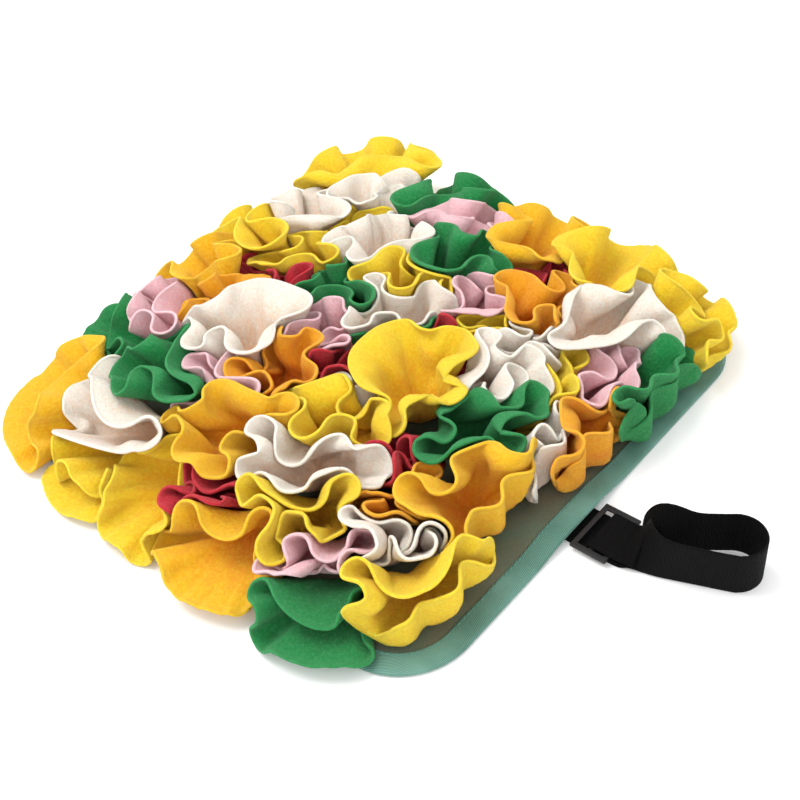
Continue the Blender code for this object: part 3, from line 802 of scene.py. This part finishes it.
fleece_materials = {colour: brushed_fleece(colour) for colour in FLEECE_COLOURS}
for row in DISCS:
    made[row[0]].data.materials.append(fleece_materials[row[1]])
print("fleece materials", len(fleece_materials))


# %% [markdown]
# ## The base cloth and its binding
# The base is a plain woven cloth with a non-slip backing. Satin twill tape, 18 mm wide once it is
# folded, wraps the rim and is sewn through. Both are swept round the same rounded square, and both
# rise a little where the strap leaves.

# %% Rings round a rounded square
MAT_SIDE = 0.450
CORNER_RADIUS = 0.058
SIDE_STEPS = 44
BEND_STEPS = 14


def rounded_square(inset):
    """Points round the mat's outline, moved in by an inset, with the same count for all."""
    half = MAT_SIDE / 2 - inset
    radius = max(CORNER_RADIUS - inset, 0.012)
    reach = half - radius
    side = [(half, -reach + 2 * reach * k / SIDE_STEPS) for k in range(SIDE_STEPS)]
    bend = [(reach + radius * math.cos(math.pi / 2 * k / BEND_STEPS),
             reach + radius * math.sin(math.pi / 2 * k / BEND_STEPS)) for k in range(BEND_STEPS)]
    points = []
    for quarter in range(4):
        cos, sin = round(math.cos(quarter * math.pi / 2)), round(math.sin(quarter * math.pi / 2))
        points += [(x * cos - y * sin, x * sin + y * cos) for x, y in side + bend]
    return np.array(points)


def along_rim():
    """Distance along the rim at each outline point."""
    ring = rounded_square(0.0)
    steps = np.linalg.norm(np.roll(ring, -1, 0) - ring, axis=1)
    return np.concatenate([[0], np.cumsum(steps)[:-1]]), steps.sum()


rim_run, rim_length = along_rim()
print("rim length", round(float(rim_length), 3), "m")


# %% Sweep a section round the mat
def ripple(run, amount, seed):
    """A gentle unevenness that closes on itself round the rim."""
    total = np.zeros_like(run)
    picker = np.random.default_rng(seed)
    for waves in (9, 17, 31, 58):
        total += np.sin(2 * math.pi * waves * run / rim_length + picker.uniform(0, 6.28)) / math.sqrt(waves)
    return amount * total


def swept(name, sections, closed, pucker):
    """Rings of the section (inset, height) round the mat; open ones end in flat middles."""
    rows = []
    for number, (inset, height) in enumerate(sections):
        ring = rounded_square(inset)
        z = height + lift(ring[:, 0], ring[:, 1]) + pucker(number, rim_run)
        rows.append(np.column_stack([ring, z]))
    count = len(rows[0])
    points = np.concatenate(rows).tolist()
    faces = band_faces(len(rows), count, closed)
    if not closed:
        for row in (0, len(rows) - 1):
            points.append((0.0, 0.0, sections[row][1]))
            faces += [(row * count + k, row * count + (k + 1) % count, len(points) - 1) for k in range(count)]
    run = np.zeros((len(points), 3), dtype=np.float32)
    across = np.concatenate([[0], np.cumsum([math.dist(a, b) for a, b in zip(sections, sections[1:])])])
    run[:len(rows) * count, 0] = np.tile(rim_run, len(rows))
    run[:len(rows) * count, 1] = np.repeat(across, count)
    return closed_piece(name, points, faces, {"along_tape": run})


# %% Base cloth and binding tape
BIND_WIDTH = 0.018
# sections from the inside of the under side round to the top: inset from the outline, height
base_sections = [(inset, 0.0) for inset in (0.065, 0.045, 0.031, 0.0188)]
base_sections += [(0.0184, 0.0013), (0.0016, 0.0013), (0.0016, 0.0027)]
base_sections += [(0.0184, 0.0027), (0.031, 0.0027), (0.045, 0.0027), (0.065, 0.0027)]
base = swept("base_cloth", base_sections, False, lambda number, run: 0 * run)
tape_sections = ((0.0180, 0.0034), (0.0172, 0.0040), (0.0150, 0.0042), (0.0090, 0.0043), (0.0030, 0.0041),
                 (0.0011, 0.0036), (0.0001, 0.0028), (0.0000, 0.0016), (0.0006, 0.0007), (0.0022, 0.0000),
                 (0.0180, 0.0000), (0.0180, 0.0010), (0.0012, 0.0010), (0.0012, 0.0030))


PUCKER = 0.00022
PUCKER_SEED = 3
TOP_SECTIONS = 6


def tape_pucker(number, run):
    """The tape's top puckers a little between stitches; its under side stays flat."""
    return ripple(run, PUCKER, PUCKER_SEED) * (1.0 if number < TOP_SECTIONS else 0.0)


tape = swept("binding_twill", tape_sections, True, tape_pucker)
print("base faces", len(base.data.polygons), "tape faces", len(tape.data.polygons))


# %% Woven cloth and satin twill
def woven_base():
    """A plain weave of thick threads, green, with olive-brown patches painted at random as painted warm
    bounce light from the fleece, in object coordinates.
    """
    paint = Paint("woven_base")
    place = paint.place()
    x, y, z = paint.split(place)
    warp = (x * 3000.0).sine()
    weft = (y * 3000.0).sine()
    clouds = paint.noise(place, 40.0, 3.0)
    # painted reflection: olive-brown patches stand for warm light bounced from the fleece, mixed at random
    # into the cloth's green
    body = paint.mix(((clouds - 0.3) * 2.0).clamped(), (0.150, 0.125, 0.075), (0.085, 0.150, 0.100))
    body = paint.mix((warp * weft * 0.5 + 0.5).clamped() * 0.35, body, (0.035, 0.05, 0.035))
    return paint.finish(Base_Color=body, Roughness=0.8, Normal=paint.bump(warp * weft, 0.4, 0.0004))


def satin_twill():
    """Fine diagonal ribs along the tape, with a soft shine and pale teal patches painted at random as painted
    satin sheen.
    """
    paint = Paint("satin_twill")
    run, across, _ = paint.split(paint.attribute("along_tape", "Vector"))
    ribs = ((across + run * 0.22) * 5200.0).sine()
    clouds = paint.noise(paint.place(), 16.0, 3.0)
    body = paint.mix((ribs * 0.5 + 0.5).clamped(), (0.022, 0.085, 0.062), (0.10, 0.27, 0.205))
    # painted highlight: pale teal patches stand for the satin's sheen where it faces the light
    body = paint.mix(((clouds - 0.45) * 3.0).clamped() * 0.5, body, (0.24, 0.50, 0.42))
    return paint.finish(Base_Color=body, Roughness=0.46, Normal=paint.bump(ribs, 0.35, 0.0003),
                        Sheen_Weight=0.2, Specular_IOR_Level=0.5)


base.data.materials.append(woven_base())
tape.data.materials.append(satin_twill())
print("woven cloth and twill made")


# %% [markdown]
# ## Stitches, by a node tree
# Stitches repeat along a path, which is what Geometry Nodes are best at: one thread-sized grain is
# put at even steps along the tape's inner edge, turned to follow it.

# %% A tree that sews along a path
def sewing_tree(thread):
    """A node tree with named sizes: step, stitch length and thread radius."""
    tree = bpy.data.node_groups.new("sew_along", "GeometryNodeTree")
    tree.interface.new_socket("Path", in_out="INPUT", socket_type="NodeSocketGeometry")
    for name, value in (("Step", 0.0036), ("Stitch Length", 0.0028), ("Thread Radius", 0.00028)):
        socket = tree.interface.new_socket(name, in_out="INPUT", socket_type="NodeSocketFloat")
        socket.default_value = value
    tree.interface.new_socket("Stitches", in_out="OUTPUT", socket_type="NodeSocketGeometry")
    nodes = {key: tree.nodes.new(kind) for key, kind in (
        ("entry", "NodeGroupInput"), ("result", "NodeGroupOutput"), ("curve", "GeometryNodeMeshToCurve"),
        ("steps", "GeometryNodeResampleCurve"), ("tangent", "GeometryNodeInputTangent"),
        ("turn", "FunctionNodeAlignRotationToVector"), ("grain", "GeometryNodeMeshCylinder"),
        ("place", "GeometryNodeInstanceOnPoints"), ("real", "GeometryNodeRealizeInstances"),
        ("paint", "GeometryNodeSetMaterial"))}
    nodes["steps"].mode = "LENGTH"
    nodes["turn"].axis = "Z"
    nodes["grain"].inputs["Vertices"].default_value = 6
    nodes["paint"].inputs["Material"].default_value = thread
    for source, output, target, entrance in (
            ("entry", "Path", "curve", "Mesh"), ("curve", "Curve", "steps", "Curve"),
            ("entry", "Step", "steps", "Length"), ("tangent", "Tangent", "turn", "Vector"),
            ("entry", "Thread Radius", "grain", "Radius"), ("entry", "Stitch Length", "grain", "Depth"),
            ("steps", "Curve", "place", "Points"), ("grain", "Mesh", "place", "Instance"),
            ("turn", "Rotation", "place", "Rotation"), ("place", "Instances", "real", "Geometry"),
            ("real", "Geometry", "paint", "Geometry"), ("paint", "Geometry", "result", "Stitches")):
        tree.links.new(nodes[source].outputs[output], nodes[target].inputs[entrance])
    return tree


def sewn(name, path_points, tree, sizes):
    """Run the tree round a closed path and keep the result as a plain mesh."""
    mesh = bpy.data.meshes.new(name + "_path")
    edges = [(k, (k + 1) % len(path_points)) for k in range(len(path_points))]
    mesh.from_pydata([tuple(point) for point in path_points], edges, [])
    carrier = placed(name + "_path", mesh)
    modifier = carrier.modifiers.new("sewing", "NODES")
    modifier.node_group = tree
    for item in tree.interface.items_tree:
        if item.in_out == "INPUT" and item.name in sizes:
            modifier[item.identifier] = sizes[item.name]
    graph = bpy.context.evaluated_depsgraph_get()
    plain = bpy.data.meshes.new_from_object(carrier.evaluated_get(graph))
    plain.name = name
    bpy.data.objects.remove(carrier)
    return placed(name, plain)


def thread_finish(name, colour):
    """Twisted sewing thread."""
    paint = Paint(name)
    place = paint.place()
    x, y, z = paint.split(place)
    twist = ((x + y + z) * 9000.0).sine()
    body = paint.mix((twist * 0.5 + 0.5).clamped() * 0.4, colour, tuple(c * 0.55 for c in colour))
    return paint.finish(Base_Color=body, Roughness=0.55, Normal=paint.bump(twist, 0.3, 0.0002))


tape_tree = sewing_tree(thread_finish("tape_thread", (0.12, 0.33, 0.28)))
edge_ring = rounded_square(BIND_WIDTH - 0.0022)
edge_z = 0.0043 + lift(edge_ring[:, 0], edge_ring[:, 1]) + ripple(rim_run, PUCKER, PUCKER_SEED)
tape_stitches = sewn("tape_stitches", np.column_stack([edge_ring, edge_z]), tape_tree,
                     {"Step": 0.0034, "Stitch Length": 0.0026, "Thread Radius": 0.00026})
print("stitch faces", len(tape_stitches.data.polygons))


# %% [markdown]
# ## The strap and its slider
# The strap is one flat ribbon of ribbed webbing. It leaves under the mat lying flat, turns up on
# edge to make its loop, comes back, lies down again and is folded round the slider's middle bar.
# A ribbon is best built straight from its edge line and its width direction at each station.

# %% Stations of the ribbon
WEB_WIDTH = 0.038
WEB_THICK = 0.0016
LOOP_CENTRE = (0.334, -0.004)
LOOP_RADIUS = 0.019
LOOP_ANGLES = np.linspace(125.0, -68.0, 17)
# the fold round the slider's middle bar: where it is, its radius and its lower edge
BAR_X = 0.245 - WEB_THICK
BAR_Z = 0.0052
TURN_RADIUS = 0.0023
TURN_STEPS = 8
EDGE_Y = -0.049
# lower edge x, y, z in millimetres, heading and tilt of the width in degrees
WEB_OUT = (
    (176.5, -49.0, 0.8, 0, 0), (205, -49.0, 0.8, 0, 0), (240, -49.0, 0.8, 0, 0), (264, -48.8, 0.8, 4, 0),
    (272, -45.5, 0.8, 12, 3), (280, -36.0, 0.9, 30, 18), (288, -21.0, 1.0, 40, 50),
    (299, -5.5, 1.0, 40, 86), (311, 3.0, 1.0, 36, 90),
)
WEB_BACK = (
    (318, -30.5, 1.0, -159, 90), (296, -39.0, 1.0, -160, 95), (284, -42.8, 1.2, -168, 115),
    (275, -46.0, 2.6, -174, 146), (268, -48.6, 2.9, -178, 170), (262, -49.0, 2.9, -180, 180),
    (250, -49.0, 2.9, -180, 180),
)
WEB_END = (
    (250, -49.0, 7.5, 0, 0), (262, -49.0, 7.5, 0, 0), (268, -48.7, 7.1, 1, 8), (274, -47.0, 6.2, 3, 28),
    (278, -46.0, 5.2, 5, 42),
)


def station(x, y, z, heading, tilt):
    """Edge point and width direction."""
    turn, lean = math.radians(heading), math.radians(tilt)
    return (np.array((x, y, z)),
            np.array((-math.sin(turn) * math.cos(lean), math.cos(turn) * math.cos(lean), math.sin(lean))))


def stations_of(rows):
    """Stations from a table in millimetres and degrees."""
    return [station(x * MM, y * MM, z * MM, heading, tilt) for x, y, z, heading, tilt in rows]


stations = stations_of(WEB_OUT)
for angle in LOOP_ANGLES:
    turn = math.radians(angle)
    stations.append(station(LOOP_CENTRE[0] + LOOP_RADIUS * math.cos(turn),
                            LOOP_CENTRE[1] + LOOP_RADIUS * math.sin(turn), MM, angle - 90, 90))
stations += stations_of(WEB_BACK)
for step in range(TURN_STEPS + 1):
    turn = math.pi * step / TURN_STEPS
    bend = (BAR_X - TURN_RADIUS * math.sin(turn), EDGE_Y, BAR_Z - TURN_RADIUS * math.cos(turn))
    stations.append((np.array(bend), np.array((0.0, 1.0, 0.0))))
stations += stations_of(WEB_END)
print("ribbon stations", len(stations))


# %% Build the ribbon
def rib_rows(edges, widths, times):
    """Add smooth stations between the given ones."""
    edges, widths = np.array(edges), np.array(widths)
    for _ in range(times):
        edges, widths = halfway(edges[:, None], 0, False)[:, 0], halfway(widths[:, None], 0, False)[:, 0]
    return edges, widths / np.linalg.norm(widths, axis=1, keepdims=True)


def ribbon(name, given):
    """A webbing ribbon with rounded selvedges."""
    edges, widths = rib_rows([e for e, _ in given], [w for _, w in given], 2)
    middles = edges + widths * WEB_WIDTH / 2
    along = np.gradient(middles, axis=0)
    along /= np.linalg.norm(along, axis=1, keepdims=True)
    face = np.cross(along, widths)
    face /= np.linalg.norm(face, axis=1, keepdims=True)
    half = WEB_THICK / 2
    across = [(0.0, 0.0), (0.25 * half, 0.66), (half, 1.0)]
    across += [(WEB_WIDTH * k / 6, 1.0) for k in range(1, 6)]
    across += [(WEB_WIDTH - half, 1.0), (WEB_WIDTH - 0.25 * half, 0.66), (WEB_WIDTH, 0.0)]
    ring = across + [(w, -t) for w, t in across[-2:0:-1]]
    size = len(ring)
    points = np.concatenate([edges + widths * w + face * (half * t) for w, t in ring]).reshape(size, -1, 3)
    points = points.transpose(1, 0, 2)
    rows = len(points)
    faces = band_faces(rows, size)
    faces += [tuple(range(size)), tuple(range((rows - 1) * size, rows * size))]
    run = np.concatenate([[0], np.cumsum(np.linalg.norm(np.diff(middles, axis=0), axis=1))])
    laid = np.zeros((rows * size, 3), dtype=np.float32)
    laid[:, 0] = np.repeat(run, size)
    laid[:, 1] = np.tile([w for w, _ in ring], rows)
    return closed_piece(name, points.reshape(-1, 3).tolist(), faces, {"along_strap": laid}), float(run[-1])


strap, strap_length = ribbon("webbing_ribbon", stations)
print("strap length", round(strap_length, 3), "m")


# %% Ribbed webbing and moulded plastic
def ribbed_webbing():
    """Black webbing: cross ribs broken into a herringbone of threads."""
    paint = Paint("ribbed_webbing")
    run, across, _ = paint.split(paint.attribute("along_strap", "Vector"))
    ribs = (run * 3600.0).sine()
    threads = (across * 5200.0 + ribs * 1.2).sine()
    weave = ribs * 0.65 + threads * 0.35
    body = paint.mix((weave * 0.5 + 0.5).clamped(), (0.001, 0.001, 0.0012), (0.005, 0.005, 0.0055))
    return paint.finish(Base_Color=body, Roughness=0.7, Normal=paint.bump(weave, 0.8, 0.0006),
                        Specular_IOR_Level=0.08)


def moulded_plastic():
    """Black moulded plastic with a faint grain."""
    paint = Paint("moulded_plastic")
    grain = paint.noise(paint.place(), 1500.0, 2.0)
    body = paint.mix(grain, (0.003, 0.003, 0.0035), (0.007, 0.007, 0.0075))
    return paint.finish(Base_Color=body, Roughness=grain * 0.15 + 0.38,
                        Normal=paint.bump(grain, 0.12, 0.0002), Specular_IOR_Level=0.35)


strap.data.materials.append(ribbed_webbing())


def rounded_copy(node, name, width):
    """A copy of a CAD node with merged points and rounded edges."""
    piece = placed(name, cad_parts[node].data.copy())
    piece.data.materials.clear()
    work = bmesh.new()
    work.from_mesh(piece.data)
    bmesh.ops.remove_doubles(work, verts=work.verts, dist=0.00001)
    bmesh.ops.dissolve_limit(work, angle_limit=math.radians(2), verts=work.verts, edges=work.edges)
    sharp = [edge for edge in work.edges if edge.calc_face_angle(0) > math.radians(30)]
    bmesh.ops.bevel(work, geom=sharp, offset=width, segments=3, profile=0.6, affect="EDGES")
    work.to_mesh(piece.data)
    work.free()
    piece.data.shade_smooth()
    return piece


buckle = rounded_copy("strap_slider", "slider_frame", 0.0007)
buckle.data.materials.append(moulded_plastic())
print("slider faces", len(buckle.data.polygons))


# %% [markdown]
# ## Floor and light
# The mat is lit very softly from all round, as in a light tent, so the floor is almost white and
# the shadows are faint. A pale world and two large lamps do this.

# %% Floor, lamps and world
floor_mesh = bpy.data.meshes.new("floor")
floor_mesh.from_pydata([(-6, -6, 0), (6, -6, 0), (6, 6, 0), (-6, 6, 0)], [], [(0, 1, 2, 3)])
floor = placed("floor", floor_mesh)
floor_mesh.materials.append(Paint("pale_floor").finish(Base_Color=(0.93, 0.93, 0.93), Roughness=0.9))


def lamp(name, place, size, power):
    """A large square lamp that faces the mat."""
    data = bpy.data.lights.new(name, "AREA")
    data.size = size
    data.energy = power
    made_lamp = placed(name, data)
    made_lamp.location = place
    made_lamp.rotation_euler = (Vector((0, 0, 0)) - Vector(place)).to_track_quat("-Z", "Y").to_euler()


lamp("key_lamp", (-0.9, -0.3, 1.9), 1.3, 31.0)
lamp("fill_lamp", (1.5, -1.4, 1.3), 1.6, 12.0)
world = bpy.data.worlds.new("light_tent")
world.use_nodes = True
world.node_tree.nodes["Background"].inputs["Color"].default_value = (1.0, 1.0, 1.0, 1.0)
world.node_tree.nodes["Background"].inputs["Strength"].default_value = 1.12
bpy.context.scene.world = world
bpy.context.scene.view_settings.view_transform = "Standard"
print("lit")


# %% [markdown]
# ## Hand the pieces over
# Every piece rides on the one body and stands for its solid where it has one.

# %% Ride and replace
nodes = set(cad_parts)
for number, row in enumerate(DISCS):
    piece = made[row[0]]
    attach(piece, "root")
    if "disc_" + row[0] in nodes:
        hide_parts("disc_" + row[0])
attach(base, "root")
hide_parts("base_sheet")
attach(tape, "root")
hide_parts("binding_tape")
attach(tape_stitches, "root")
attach(strap, "root")
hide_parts("webbing_strap")
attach(buckle, "root")
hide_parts("strap_slider")
